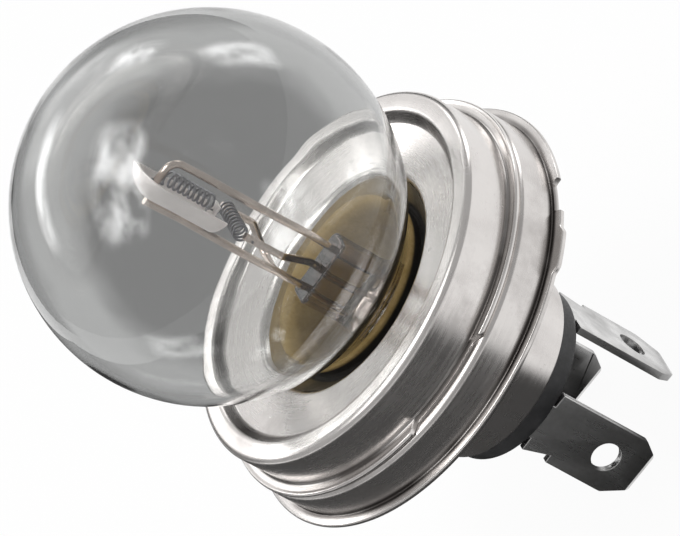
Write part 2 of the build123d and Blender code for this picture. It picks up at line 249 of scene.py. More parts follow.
class Nodes:
    """Adds nodes to a tree, each input set to a value or fed by a socket."""

    def __init__(self, tree):
        self.tree = tree

    def feed(self, socket, value):
        """Link or set one input."""
        if isinstance(value, bpy.types.NodeSocket):
            self.tree.links.new(value, socket)
        else:
            socket.default_value = value

    def add(self, kind, inputs=None, **options):
        """A new node with its options and inputs."""
        node = self.tree.nodes.new(kind)
        for key, value in options.items():
            setattr(node, key, value)
        for place, value in (inputs or {}).items():
            self.feed(node.inputs[place], value)
        return node

    def out(self, kind, inputs=None, **options):
        """The first output of a new node."""
        return self.add(kind, inputs, **options).outputs[0]

    def math(self, operation, *values):
        return self.out("ShaderNodeMath", dict(enumerate(values)), operation=operation)

    def plus(self, first, second):
        return self.math("ADD", first, second)

    def minus(self, first, second):
        return self.math("SUBTRACT", first, second)

    def times(self, first, second):
        return self.math("MULTIPLY", first, second)

    def more(self, first, second):
        """The larger of two values."""
        return self.math("MAXIMUM", first, second)

    def span(self, first, second):
        """Distance that two square sides make."""
        squares = self.math("MULTIPLY_ADD", first, first, self.times(second, second))
        return self.math("SQRT", squares)

    def ease(self, value, low, high, start=0.0, end=1.0, kind="LINEAR"):
        """A value carried from one range to another and held at its ends."""
        inputs = {
            "Value": value, "From Min": low, "From Max": high, "To Min": start, "To Max": end
        }
        return self.out("ShaderNodeMapRange", inputs, interpolation_type=kind)

    def fade(self, value, low, high, start=0.0, end=1.0):
        """The same with soft ends."""
        return self.ease(value, low, high, start, end, "SMOOTHSTEP")

    def noise(self, vector, scale, detail=4.0, roughness=0.55, seed=0.0):
        inputs = {
            "Vector": vector, "W": seed, "Scale": scale, "Detail": detail, "Roughness": roughness
        }
        return self.out("ShaderNodeTexNoise", inputs, noise_dimensions="4D")

    def split(self, vector):
        return self.add("ShaderNodeSeparateXYZ", {0: vector}).outputs

    def combine(self, x, y, z):
        return self.out("ShaderNodeCombineXYZ", {0: x, 1: y, 2: z})

    def stretch(self, vector, by):
        return self.out("ShaderNodeVectorMath", {0: vector, 1: by}, operation="MULTIPLY")

    def along(self, vector, way):
        """How far a point lies in a direction."""
        node = self.add("ShaderNodeVectorMath", {0: vector, 1: way}, operation="DOT_PRODUCT")
        return node.outputs["Value"]

    def polar(self, vector):
        """Angle, radius and height about the bulb's axis."""
        parts = self.split(vector)
        turn = self.math("ARCTAN2", parts["Y"], parts["X"])
        return turn, self.span(parts["X"], parts["Y"]), parts["Z"]

    def blend(self, part, first, second):
        """Two colours mixed by a share."""
        node = self.add("ShaderNodeMix", {0: part, 6: first, 7: second}, data_type="RGBA")
        return node.outputs[2]

    def bump(self, height, strength, distance):
        inputs = {"Height": height, "Strength": strength, "Distance": distance}
        return self.out("ShaderNodeBump", inputs)

    def rays(self):
        """What kind of ray meets the surface."""
        return self.add("ShaderNodeLightPath").outputs


class Finish(Nodes):
    """A material with one main shader, read from the piece's own coordinates."""

    def __init__(self, name, **constants):
        self.material = bpy.data.materials.new(name)
        self.material.use_nodes = True
        super().__init__(self.material.node_tree)
        self.tree.nodes.clear()
        self.output = self.add("ShaderNodeOutputMaterial")
        self.shader = self.add("ShaderNodeBsdfPrincipled")
        self.feed(self.output.inputs["Surface"], self.shader.outputs[0])
        self.place = self.add("ShaderNodeTexCoord").outputs["Object"]
        self.shade(**constants)

    def shade(self, **sockets):
        """Set or feed the main shader's sockets."""
        for key, value in sockets.items():
            self.feed(self.shader.inputs[key.replace("_", " ")], value)
        return self.material

    def cover(self, part, other):
        """Lay another shader over the main one by a share."""
        shaders = {0: part, 1: self.shader.outputs[0], 2: other}
        self.feed(self.output.inputs["Surface"], self.out("ShaderNodeMixShader", shaders))


def rgba(value):
    """A colour with its alpha, as sockets take it."""
    return (value[0], value[1], value[2], 1.0)


def dimmed(value, factor):
    """A colour made darker, or lighter where the factor is over one."""
    return tuple(channel * factor for channel in value)


# Finishes

# Share of its reach in which the painted corner shade is at its darkest
SHADE_CORE = 0.35


def plated_steel(name, bright, stain, corner_shade, corners):
    """Bright plate with turning lines, dull patches, fine pits and painted shade along its corners.
    """
    make = Finish(name, Metallic=1.0)
    turn, radius, height = make.polar(make.place)
    turning = make.combine(
        make.times(turn, 2.2), make.times(radius, 5200.0), make.times(height, 5200.0)
    )
    broad = make.combine(make.times(turn, 2.6), make.times(height, 60.0), 0.0)
    lines = make.noise(turning, scale=1.0, detail=3.0, roughness=0.6, seed=1.3)
    bands = make.noise(broad, scale=1.0)
    patches = make.noise(make.place, scale=210.0, detail=6.0, roughness=0.6, seed=4.1)
    clouds = make.noise(make.place, scale=75.0, detail=3.0, roughness=0.5, seed=7.7)
    pits = make.noise(make.place, scale=2600.0, detail=2.0, roughness=0.6, seed=2.9)
    dull = make.times(make.ease(patches, 0.46, 0.72), make.ease(clouds, 0.38, 0.62))
    dull = make.plus(make.times(dull, 0.75), make.ease(pits, 0.62, 0.8, 0.0, 0.35))
    dull = make.plus(dull, make.ease(bands, 0.45, 0.7, 0.0, 0.4))
    # Painted shade: the plate darkens towards each inner corner, broken up by clouds
    corner_shade_mask = 0.0
    for corner_radius, corner_height, reach in corners:
        away = make.span(make.minus(radius, corner_radius), make.minus(height, corner_height))
        corner_shade_mask = make.more(corner_shade_mask, make.fade(away, SHADE_CORE * reach, reach, 1.0, 0.0))
    corner_shade_mask = make.times(corner_shade_mask, make.ease(clouds, 0.36, 0.56, 0.35, 0.95))
    relief = make.plus(make.times(lines, 0.5), make.times(pits, 0.5))
    plate = make.blend(dull, rgba(bright), rgba(stain))
    return make.shade(
        Base_Color=make.blend(corner_shade_mask, plate, rgba(corner_shade)),
        Roughness=make.plus(make.ease(lines, 0.3, 0.7, 0.17, 0.27), make.times(dull, 0.2)),
        Normal=make.bump(relief, strength=0.12, distance=0.03 * MM),
    )


def blade_plate(name, bright, stain):
    """Satin plate with rolling lines along the blade and dull rubbed patches."""
    make = Finish(name, Metallic=1.0)
    rolled = make.stretch(make.place, (4200.0, 4200.0, 160.0))
    rubbed = make.stretch(make.place, (900.0, 900.0, 90.0))
    lines = make.noise(rolled, scale=1.0, detail=3.0, roughness=0.6, seed=3.3)
    scratch = make.noise(rubbed, scale=1.0, detail=5.0, roughness=0.7, seed=5.9)
    patches = make.noise(make.place, scale=260.0, detail=6.0, roughness=0.6, seed=8.2)
    dull = make.ease(patches, 0.4, 0.68)
    relief = make.plus(make.times(lines, 0.6), make.times(scratch, 0.4))
    return make.shade(
        Base_Color=make.blend(dull, rgba(bright), rgba(stain)),
        Roughness=make.plus(make.ease(lines, 0.3, 0.7, 0.22, 0.34), make.times(dull, 0.14)),
        Normal=make.bump(relief, strength=0.14, distance=0.04 * MM),
    )


def drawn_metal(name, bright, darker, scale, rough, relief, metal=1.0):
    """Wire, sheet or solder: patchy colour, uneven gloss and a fine tooth."""
    make = Finish(name, Metallic=metal)
    patches = make.noise(make.place, scale=scale, detail=5.0, roughness=0.6, seed=6.4)
    tooth = make.noise(make.place, scale=9.0 * scale, detail=2.0, roughness=0.5, seed=2.2)
    uneven = make.math("MULTIPLY_ADD", tooth, 0.5, make.times(patches, 0.5))
    dull = make.ease(patches, 0.36, 0.66)
    return make.shade(
        Base_Color=make.blend(dull, rgba(bright), rgba(dimmed(bright, darker))),
        Roughness=make.ease(uneven, 0.3, 0.7, *rough),
        Normal=make.bump(tooth, strength=relief, distance=0.03 * MM),
    )


def clear_glass(name, body, tint, density, smear):
    """Blown glass that lets lamplight through, with faint smears."""
    make = Finish(name, Transmission_Weight=1.0, IOR=1.5)
    clouds = make.noise(make.place, scale=120.0, detail=4.0, roughness=0.6, seed=9.1)
    smears = make.ease(clouds, 0.5, 0.8)
    make.shade(
        Base_Color=make.blend(make.times(smears, 0.5), rgba(body), rgba(dimmed(body, 0.9))),
        Roughness=make.times(smears, smear),
    )
    rays = make.rays()
    lamplight = make.more(rays["Is Shadow Ray"], rays["Is Diffuse Ray"])
    make.cover(lamplight, make.out("ShaderNodeBsdfTransparent", {"Color": rgba(body)}))
    inside = make.out("ShaderNodeVolumeAbsorption", {"Color": rgba(tint), "Density": density})
    make.feed(make.output.inputs["Volume"], inside)
    return make.material


def cement(name, light, dark, groove_shadow):
    """Baked cement: sandy grain, dark lumps, small pores, and painted shadow where the groove is
    marked.
    """
    make = Finish(name, Metallic=0.0)
    lumps = make.noise(make.place, scale=420.0, detail=5.0, roughness=0.6, seed=1.7)
    grain = make.noise(make.place, scale=3400.0, detail=3.0, roughness=0.7, seed=5.2)
    pores = make.out("ShaderNodeTexVoronoi", {"Vector": make.place, "Scale": 1500.0})
    tone = make.math("MULTIPLY_ADD", grain, 0.4, make.times(lumps, 0.6))
    relief = make.math("MULTIPLY_ADD", make.ease(pores, 0.0, 0.5), 0.5, tone)
    sand = make.blend(make.ease(tone, 0.38, 0.62), rgba(light), rgba(dark))
    groove = make.add("ShaderNodeAttribute", attribute_name=GROOVE_SHADOW).outputs["Fac"]
    return make.shade(
        Base_Color=make.blend(groove, sand, rgba(groove_shadow)),
        Roughness=make.ease(grain, 0.3, 0.7, 0.75, 0.95),
        Normal=make.bump(relief, strength=0.5, distance=0.1 * MM),
    )


def black_moulding(name, base):
    """Pressed black resin: matt, faintly mottled, with a fine grain."""
    make = Finish(name, Metallic=0.0)
    mottle = make.noise(make.place, scale=300.0, detail=5.0, roughness=0.6, seed=3.8)
    grain = make.noise(make.place, scale=3800.0, detail=2.0, roughness=0.6, seed=6.6)
    pale = make.ease(mottle, 0.35, 0.7)
    return make.shade(
        Base_Color=make.blend(pale, rgba(base), rgba(dimmed(base, 2.4))),
        Roughness=make.ease(grain, 0.3, 0.7, 0.42, 0.62),
        Normal=make.bump(grain, strength=0.25, distance=0.05 * MM),
    )


# Turned and drawn shapes

# The circle that carries an outline round the axis, and how near points are merged
PATH_RADIUS = 10.0 * MM
SEAM_GAP = 0.001 * MM
MERGE_GAP = 0.0004 * MM
TINY = 1e-7

# Fineness of bends and roundness of cut edges in sheet
BEND_STEP = radians(7.0)
CUT_ROUND = 0.5
CUT_TURNS = (60, 30, 0, -30, -60)

# Which edges stay sharp, which faces of a solid are one flat, and which edges are eased
SHEET_CREASE = radians(38.0)
FLAT_ANGLE = radians(0.6)
EASED_ANGLE = radians(40.0)
EASED_SEGMENTS = 3

TURNED_INPUTS = (
    ("Segments", "NodeSocketInt", 512),
    ("Notch Place", "NodeSocketFloat", 0.0),
    ("Notch Sweep", "NodeSocketFloat", 0.0),
    ("Notch Ease", "NodeSocketFloat", 0.01),
    ("Notch Rim", "NodeSocketFloat", 1.0),
    ("Notch Floor", "NodeSocketFloat", 1.0),
    ("Lug Place", "NodeSocketFloat", 0.0),
    ("Lug Sweep", "NodeSocketFloat", 0.0),
    ("Lug Ease", "NodeSocketFloat", 0.01),
    ("Lug Root", "NodeSocketFloat", 1.0),
    ("Lug Rim", "NodeSocketFloat", 2.0),
    ("Lug Reach", "NodeSocketFloat", 0.0),
    ("Waviness", "NodeSocketFloat", 0.0),
    ("Wave Scale", "NodeSocketFloat", 100.0),
    ("Seed", "NodeSocketFloat", 0.0),
    ("Finish", "NodeSocketMaterial", None),
)

WIRE_INPUTS = (
    ("Radius", "NodeSocketFloat", 0.0001),
    ("Sides", "NodeSocketInt", 12),
    ("Finish", "NodeSocketMaterial", None),
)


def start_tree(name, inputs):
    """A geometry tree with its named inputs."""
    tree = bpy.data.node_groups.new(name, "GeometryNodeTree")
    tree.is_modifier = True
    tree.interface.new_socket("Line", in_out="INPUT", socket_type="NodeSocketGeometry")
    for title, kind, default in inputs:
        socket = tree.interface.new_socket(title, in_out="INPUT", socket_type=kind)
        if default is not None:
            socket.default_value = default
    tree.interface.new_socket("Piece", in_out="OUTPUT", socket_type="NodeSocketGeometry")
    make = Nodes(tree)
    return make, make.add("NodeGroupInput").outputs


def end_tree(make, piece, finish):
    """Close a tree with real geometry and its finish."""
    smooth = make.out("GeometryNodeSetShadeSmooth", {"Geometry": piece})
    real = make.out("GeometryNodeRealizeInstances", {"Geometry": smooth})
    painted = make.out("GeometryNodeSetMaterial", {"Geometry": real, "Material": finish})
    make.add("NodeGroupOutput", {0: painted})
    return make.tree


def turned_tree():
    """Turns an outline about the axis, cuts a notch, draws out a lug and adds a slight wave."""
    make, given = start_tree("Turned piece", TURNED_INPUTS)
    outline = make.out("GeometryNodeMeshToCurve", {"Mesh": given["Line"]})
    inputs = {"Resolution": given["Segments"], "Radius": PATH_RADIUS}
    circle = make.out("GeometryNodeCurvePrimitiveCircle", inputs)
    turned = make.out("GeometryNodeCurveToMesh", {"Curve": circle, "Profile Curve": outline})
    turned = make.out("GeometryNodeMergeByDistance", {"Geometry": turned, "Distance": SEAM_GAP})
    place = make.out("GeometryNodeInputPosition")
    turn, radius = make.polar(place)[:2]

    def window(title):
        """One within the sweep of a notch or lug, easing to nothing at its ends."""
        away = make.math("WRAP", make.minus(turn, given[title + " Place"]), pi, -pi)
        half = make.times(given[title + " Sweep"], 0.5)
        outer = make.math("MULTIPLY_ADD", given[title + " Ease"], 0.5, half)
        inner = make.math("MULTIPLY_ADD", given[title + " Ease"], -0.5, half)
        return make.fade(make.math("ABSOLUTE", away), outer, inner)

    cut = make.minus(given["Notch Floor"], given["Notch Rim"])
    limit = make.math("MULTIPLY_ADD", cut, window("Notch"), given["Notch Rim"])
    notched = make.math("MINIMUM", radius, limit)
    edge = make.ease(radius, given["Lug Root"], given["Lug Rim"])
    drawn = make.times(given["Lug Reach"], make.times(edge, window("Lug")))
    grown = make.math("DIVIDE", make.plus(notched, drawn), make.more(radius, TINY))
    moved = make.stretch(place, make.combine(grown, grown, 1.0))
    shaped = make.out("GeometryNodeSetPosition", {"Geometry": turned, "Position": moved})
    wave = make.noise(place, given["Wave Scale"], detail=2.0, roughness=0.5, seed=given["Seed"])
    depth = make.times(make.times(wave, given["Waviness"]), -1.0)
    normal = make.out("GeometryNodeInputNormal")
    push = make.out("ShaderNodeVectorMath", {0: normal, "Scale": depth}, operation="SCALE")
    waved = make.out("GeometryNodeSetPosition", {"Geometry": shaped, "Offset": push})
    return end_tree(make, waved, given["Finish"])


def wire_tree():
    """Draws a round wire along a line, with closed ends."""
    make, given = start_tree("Round wire", WIRE_INPUTS)
    line = make.out("GeometryNodeMeshToCurve", {"Mesh": given["Line"]})
    inputs = {"Resolution": given["Sides"], "Radius": given["Radius"]}
    ring = make.out("GeometryNodeCurvePrimitiveCircle", inputs)
    inputs = {"Curve": line, "Profile Curve": ring, "Fill Caps": True}
    return end_tree(make, make.out("GeometryNodeCurveToMesh", inputs), given["Finish"])


def tree_named(name, builder):
    """A tree that is there already, or a new one."""
    return bpy.data.node_groups.get(name) or builder()


def put(name, data):
    """A new object in the scene."""
    thing = bpy.data.objects.new(name, data)
    bpy.context.scene.collection.objects.link(thing)
    return thing


def line_mesh(name, points, closed=False):
    """A mesh of edges through the points."""
    mesh = bpy.data.meshes.new(name)
    edges = [(i, i + 1) for i in range(len(points) - 1)]
    if closed:
        edges.append((len(points) - 1, 0))
    mesh.from_pydata([tuple(p) for p in points], edges, [])
    return mesh


def keep_result(piece, modifier):
    """Make a modifier's result the piece's own plain mesh."""
    before = piece.data
    graph = bpy.context.evaluated_depsgraph_get()
    mesh = bpy.data.meshes.new_from_object(piece.evaluated_get(graph))
    piece.modifiers.remove(modifier)
    piece.data = mesh
    bpy.data.meshes.remove(before)
    if not mesh.polygons:
        raise RuntimeError(piece.name + " came out empty")


def smooth(mesh, crease):
    """Shade smooth, with the creases left sharp."""
    mesh.shade_smooth()
    mesh.set_sharp_from_angle(angle=crease)


def shape_from_tree(name, line, tree, values, crease):
    """Run a geometry tree on a line, merge its seams and point its faces outwards."""
    piece = put(name, line)
    modifier = piece.modifiers.new("Shape", "NODES")
    modifier.node_group = tree
    for socket in tree.interface.items_tree:
        if socket.in_out == "INPUT" and socket.name in values:
            modifier[socket.identifier] = values[socket.name]
    keep_result(piece, modifier)
    shape = bmesh.new()
    shape.from_mesh(piece.data)
    bmesh.ops.remove_doubles(shape, verts=shape.verts, dist=MERGE_GAP)
    bmesh.ops.recalc_face_normals(shape, faces=shape.faces)
    shape.to_mesh(piece.data)
    shape.free()
    smooth(piece.data, crease)
    return piece


def copy_solid(name, node, finish, bevel):
    """A copy of a solid's mesh with its flat faces joined and its sharp edges eased."""
    shape = bmesh.new()
    shape.from_mesh(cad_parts[node].data)
    bmesh.ops.remove_doubles(shape, verts=shape.verts, dist=MERGE_GAP)
    bmesh.ops.dissolve_limit(
        shape, angle_limit=FLAT_ANGLE, verts=shape.verts, edges=shape.edges
    )
    shape.verts.index_update()
    corners = [v.co.copy() for v in shape.verts]
    faces = [[v.index for v in f.verts] for f in shape.faces]
    shape.free()
    mesh = bpy.data.meshes.new(name)
    mesh.from_pydata(corners, [], faces)
    mesh.materials.append(finish)
    piece = put(name, mesh)
    modifier = piece.modifiers.new("Eased edges", "BEVEL")
    modifier.width = bevel
    modifier.segments = EASED_SEGMENTS
    modifier.limit_method = "ANGLE"
    modifier.angle_limit = EASED_ANGLE
    modifier.use_clamp_overlap = True
    keep_result(piece, modifier)
    smooth(piece.data, SHEET_CREASE)
    return piece


def settle(piece, slot, *nodes):
    """Put a finished piece on the bulb, in place of its solids."""
    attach(piece, BODY)
    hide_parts(*nodes)


def paint(node, finish):
    """Give a solid that stays its finish."""
    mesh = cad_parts[node].data
    mesh.materials.clear()
    mesh.materials.append(finish)


def arc(centre, start, end, step=BEND_STEP):
    """Points from start to end about a centre, the short way round."""
    first, last = start - centre, end - centre
    low = atan2(first.y, first.x)
    sweep = (atan2(last.y, last.x) - low + pi) % (2 * pi) - pi
    count = max(2, round(abs(sweep) / step))
    reach = first.length
    turns = [low + sweep * i / count for i in range(count + 1)]
    return [centre + Vector((cos(t), sin(t))) * reach for t in turns]


def bent_line(points, bends):
    """A line of corner points with each inner corner rounded."""
    points = [Vector(p) for p in points]
    line = [points[0]]
    for before, corner, after, bend in zip(points, points[1:], points[2:], bends):
        back = (before - corner).normalized()
        on = (after - corner).normalized()
        half = back.angle(on) / 2
        centre = corner + (back + on).normalized() * (bend / sin(half))
        line += arc(centre, corner + back * (bend / tan(half)), corner + on * (bend / tan(half)))
    return line + [points[-1]]


def sheet_outline(points, bends, sheet):
    """The closed outline of bent sheet, with its cut edges slightly rounded."""
    half = sheet / 2
    edge = CUT_ROUND * half
    line = bent_line(points, bends)
    line[0] = line[0] + (line[1] - line[0]).normalized() * edge
    line[-1] = line[-1] + (line[-2] - line[-1]).normalized() * edge
    left, right = [], []
    for i, point in enumerate(line):
        before = line[max(i - 1, 0)]
        after = line[min(i + 1, len(line) - 1)]
        along = (after - before).normalized()
        side = Vector((-along.y, along.x))
        left.append(point + side * half)
        right.append(point - side * half)

    def cut_edge(point, out):
        """Points round a cut edge."""
        side = Vector((-out.y, out.x))
        turns = [radians(t) for t in CUT_TURNS]
        return [point + out * (edge * cos(t)) + side * (half * sin(t)) for t in turns]

    end = cut_edge(line[-1], (line[-1] - line[-2]).normalized())
    start = cut_edge(line[0], (line[0] - line[1]).normalized())
    return left + end + right[::-1] + start


def turn_piece(name, outline, values, closed=True, crease=SHEET_CREASE):
    """Turn an outline, given as radius and height, about the bulb's axis."""
    carried = [(p[0] - PATH_RADIUS, -p[1], 0.0) for p in outline]
    tree = tree_named("Turned piece", turned_tree)
    return shape_from_tree(name, line_mesh(name, carried, closed), tree, values, crease)


# Cap

# Soft ends of the notches and the lug, and where the lug begins inside the rim
NOTCH_EASE = 0.012
LIP_NOTCH_EASE = radians(5.0)
LUG_EASE = 0.05
LUG_ROOT = 0.4 * MM
LUG_RIM = 0.1 * MM

# Reach of the painted shade round each corner, and how far the ring's plate is dimmed as painted
# shade
SPIGOT_SHADE = 0.7 * MM
STEP_SHADE = 0.78 * MM
SKIRT_SHADE = 0.5 * MM
SHADED_STEEL = 0.95
SHADED_STAIN = 0.85

# Fineness of the sheet's waves, and the sleeve's foot as a share of its wall
SHEET_WAVE_SCALE = 130.0
SLEEVE_ROUND = 0.6
SLEEVE_STEP = radians(15.0)


def front_face(cap):
    """Height of the collar's dished front face at its hole."""
    return cap.ring_height + cap.collar_depth - cap.dish_step - cap.dish_slope


def press_ring(cap, colours):
    """The focus ring: shelf, wall, and flange with its notch and lug."""
    half = cap.ring_sheet / 2
    wall = cap.spigot_dia / 2 - half
    rim = cap.flange_dia / 2
    # Painted shade: the ring's plate is a dimmed copy of the collar's steel, darker as if shaded by
    # the tiers above
    shade_dimmed = plated_steel(
        "worn plate",
        dimmed(colours.steel, SHADED_STEEL),
        dimmed(colours.steel_stain, SHADED_STAIN),
        colours.corner_shade,
        # Painted shade round the corner at the foot of the ring's wall
        [(wall + half, 0.0, SPIGOT_SHADE)],
    )
    outline = sheet_outline(
        [
            (wall - cap.shelf_width, cap.ring_height - half),
            (wall, cap.ring_height - half),
            (wall, -half),
            (rim, -half),
        ],
        [cap.ring_bend, cap.ring_bend],
        cap.ring_sheet,
    )
    piece = turn_piece("pressed_focus_ring", outline, {
        "Segments": 900,
        "Notch Place": cap.notch_angle,
        "Notch Sweep": cap.notch_width / rim,
        "Notch Ease": NOTCH_EASE,
        "Notch Rim": rim,
        "Notch Floor": rim - cap.notch_depth,
        "Lug Place": cap.lug_angle,
        "Lug Sweep": cap.lug_width / rim,
        "Lug Ease": LUG_EASE,
        "Lug Root": rim - LUG_ROOT,
        "Lug Rim": rim - LUG_RIM,
        "Lug Reach": cap.lug_reach,
        "Waviness": cap.sheet_waves,
        "Wave Scale": SHEET_WAVE_SCALE,
        "Seed": 3.0,
        "Finish": shade_dimmed,
    })
    settle(piece, "plated_steel", "focus_ring")


def press_collar(cap, colours):
    """The front collar: neck, funnel, dish, rim, skirt and lip. Gives back its finish."""
    half = cap.collar_sheet / 2
    neck = cap.collar_bore + half
    rim_top = cap.ring_height + cap.collar_depth
    face = front_face(cap)
    skirt = cap.spigot_dia / 2 - cap.collar_inset - half
    lip = cap.spigot_dia / 2 - cap.lip_inset
    lip_base = cap.ring_height + half
    step_radius = skirt - cap.rim_width - 0.5 * cap.dish_step
    # Painted shade along the dish's step and along the foot of the skirt
    corners = [
        (step_radius, rim_top - 0.5 * cap.dish_step, STEP_SHADE),
        (skirt + half, lip_base + half, SKIRT_SHADE),
    ]
    finish = plated_steel(
        "plated steel", colours.steel, colours.steel_stain, colours.corner_shade, corners
    )
    outline = sheet_outline(
        [
            (neck, face - cap.neck_length),
            (neck, face - cap.funnel_depth),
            (cap.hole_dia / 2, face - half),
            (skirt - cap.rim_width - cap.dish_step, face + cap.dish_slope - half),
            (skirt - cap.rim_width, rim_top - half),
            (skirt, rim_top - half),
            (skirt, lip_base),
            (skirt + cap.lip_flat + cap.rim_bend, lip_base),
            (lip, lip_base + cap.lip_curl),
        ],
        [cap.funnel_bend, cap.collar_bend] + [cap.rim_bend] * 5,
        cap.collar_sheet,
    )
    piece = turn_piece("pressed_collar", outline, {
        "Segments": 720,
        "Notch Place": cap.lip_notch_middle,
        "Notch Sweep": cap.lip_notch_sweep,
        "Notch Ease": LIP_NOTCH_EASE,
        "Notch Rim": lip + half,
        "Notch Floor": lip - cap.lip_notch_depth,
        "Waviness": cap.sheet_waves,
        "Wave Scale": SHEET_WAVE_SCALE,
        "Seed": 8.0,
        "Finish": finish,
    })
    settle(piece, "plated_steel", "front_collar")
    return finish


def draw_sleeve(cap, finish):
    """The base sleeve: a drawn tube with a rounded foot."""
    low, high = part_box("base_sleeve")
    bore = high.x - cap.sleeve_wall
    foot = SLEEVE_ROUND * cap.sleeve_wall
    edge = arc(
        Vector((high.x - foot, low.z + foot)),
        Vector((high.x - foot, low.z)),
        Vector((high.x, low.z + foot)),
        SLEEVE_STEP,
    )
    tube = [Vector((bore, high.z)), Vector((bore, low.z))] + edge + [Vector((high.x, high.z))]
    piece = turn_piece("drawn_sleeve", tube[::-1], {"Segments": 360, "Finish": finish})
    settle(piece, "plated_steel", "base_sleeve")


class BULB_OT_press_cap(bpy.types.Operator):
    """Press the focus ring and the front collar and draw the sleeve"""

    bl_idname = "bulb.press_cap"
    bl_label = "Press the cap"

    def execute(self, context):
        cap = settings().cap
        colours = settings().finish
        press_ring(cap, colours)
        finish = press_collar(cap, colours)
        draw_sleeve(cap, finish)
        return {"FINISHED"}


# Glass and cement

GLASS_CREASE = radians(60.0)
GLOBE_STEP = radians(2.5)
SWEEP_STEP = radians(4.0)
WELD_GAP = 0.02 * MM

# Cement: the groove's floor, the film's steps and thin top, and the hollow's steps and sag
GROOVE_WIDTH = 0.45 * MM
GROOVE_SIDE = Vector((-0.25, 0.04)) * MM
FILM_STEPS = 14
FILM_TAPER = 4
FILM_FACE = 0.35
HOLLOW_STEPS = 16
HOLLOW_SAG = 0.06

# Painted shadow on the film: its soft top end, and how far it goes down below the sweep
GROOVE_SHADOW = "groove"
SHADOW_FADE = 0.3 * MM
SHADOW_DROP = 0.6 * MM

# Painted shadow in the hollow: how far out it goes, and its tint from the dark side to the pale one
SHADOW_REACH = 1.3 * MM
SHADOW_SPREAD = 1.1 * MM
SHADOW_TINT = 0.72
SHADOW_SWING = 0.22
SHADOW_TURN = 0.15
SHADOW_BLUR = 0.3


def blown_line(glass, face, foot, grow):
    """Half outline of the globe and neck from the top down, grown or shrunk by a wall."""
    globe = glass.globe_dia / 2 + grow
    neck = glass.neck_dia / 2 + grow
    sweep = glass.neck_fillet - grow
    low = face - glass.blend_depth
    slant = glass.globe_dia / 2 + glass.neck_fillet
    across = glass.neck_dia / 2 + glass.neck_fillet
    reach = sqrt(slant**2 - across**2)
    middle = Vector((0.0, low + reach))
    part = globe / (globe + sweep)
    meet = Vector(((neck + sweep) * part, middle.y - reach * part))
    top = Vector((0.0, middle.y + globe))
    side = Vector((globe, middle.y))
    line = arc(middle, top, side, GLOBE_STEP) + arc(middle, side, meet, GLOBE_STEP)[1:]
    line += arc(Vector((neck + sweep, low)), meet, Vector((neck, low)), SWEEP_STEP)[1:]
    return line + [Vector((neck, foot))]


class BULB_OT_blow_glass(bpy.types.Operator):
    """Blow the globe and finish the stem"""

    bl_idname = "bulb.blow_glass"
    bl_label = "Blow the glass"

    def execute(self, context):
        glass = settings().glass
        colours = settings().finish
        face = front_face(settings().cap)
        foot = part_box("glass_envelope")[0].z
        outer = blown_line(glass, face, foot, 0.0)
        inner = blown_line(glass, face, foot, -glass.glass_wall)
        finish = clear_glass(
            "clear glass", colours.glass, colours.glass_tint, density=120.0, smear=0.04
        )
        values = {
            "Segments": 256,
            "Waviness": glass.waviness,
            "Wave Scale": 110.0,
            "Seed": 5.0,
            "Finish": finish,
        }
        outline = outer + inner[::-1]
        piece = turn_piece("blown_globe", outline, values, closed=False, crease=GLASS_CREASE)
        settle(piece, "clear_glass", "glass_envelope")
        finish = clear_glass(
            "stem glass", colours.stem, colours.stem_tint, density=150.0, smear=0.12
        )
        paint("glass_stem", finish)
        return {"FINISHED"}


def sweep_centre(glass):
    """Middle of the sweep between globe and neck, as radius and height."""
    radius = glass.neck_dia / 2 + glass.neck_fillet
    return Vector((radius, front_face(settings().cap) - glass.blend_depth))


def film_line(glass):
    """The film of cement: up along the neck's sweep and back down its own face."""
    middle = sweep_centre(glass)
    sweep = glass.neck_fillet - WELD_GAP

    def climb(step, wall):
        """Point of the film at a step of its rise, with a wall between it and the glass."""
        rise = glass.film_rise * (step / FILM_STEPS)
        return middle + Vector((-sqrt((sweep - wall) ** 2 - rise**2), rise))

    line = [climb(i, 0.0) for i in range(FILM_STEPS + 1)]
    for i in range(FILM_STEPS - 1, 0, -1):
        line.append(climb(i, glass.film_wall * min(1.0, (FILM_STEPS - i) / FILM_TAPER)))
    return line


def hollow_line(glass, bottom, edge):
    """The hollow of the cement, from the bottom of the groove out to its edge."""
    line = [bottom + GROOVE_SIDE]
    for i in range(HOLLOW_STEPS):
        part = i / HOLLOW_STEPS
        sag = Vector((0.0, -HOLLOW_SAG * glass.cement_dip * sin(pi * part)))
        line.append(bottom.lerp(edge, part) + sag)
    return line


def mark_painted_shadow(mesh, glass, bottom):
    """Mark how much painted shadow each point gets: the groove and the film's foot most, then the
    hollow, darkest towards one side.
    """
    middle = sweep_centre(glass)
    face = glass.neck_fillet - WELD_GAP - FILM_FACE * glass.film_wall
    darkest = Vector((cos(glass.shadow_side), sin(glass.shadow_side)))
    groove = mesh.attributes.new(GROOVE_SHADOW, "FLOAT", "POINT")
    for vertex, mark in zip(mesh.vertices, groove.data):
        spot = Vector((vertex.co.xy.length, vertex.co.z))
        if (spot - middle).length >= face or spot.y <= middle.y - SHADOW_DROP:
            mark.value = 0.0
            continue
        if spot.x > bottom.x:
            towards = vertex.co.xy.normalized().dot(darkest)
            side = max(-1.0, min(1.0, (towards + SHADOW_TURN) / SHADOW_BLUR))
            near = (bottom.x + SHADOW_REACH - spot.x) / SHADOW_SPREAD
            depth = max(SHADOW_TINT + SHADOW_SWING * side, near)
        else:
            depth = (glass.shadow_rise - (spot.y - middle.y)) / SHADOW_FADE
        mark.value = max(0.0, min(1.0, depth))


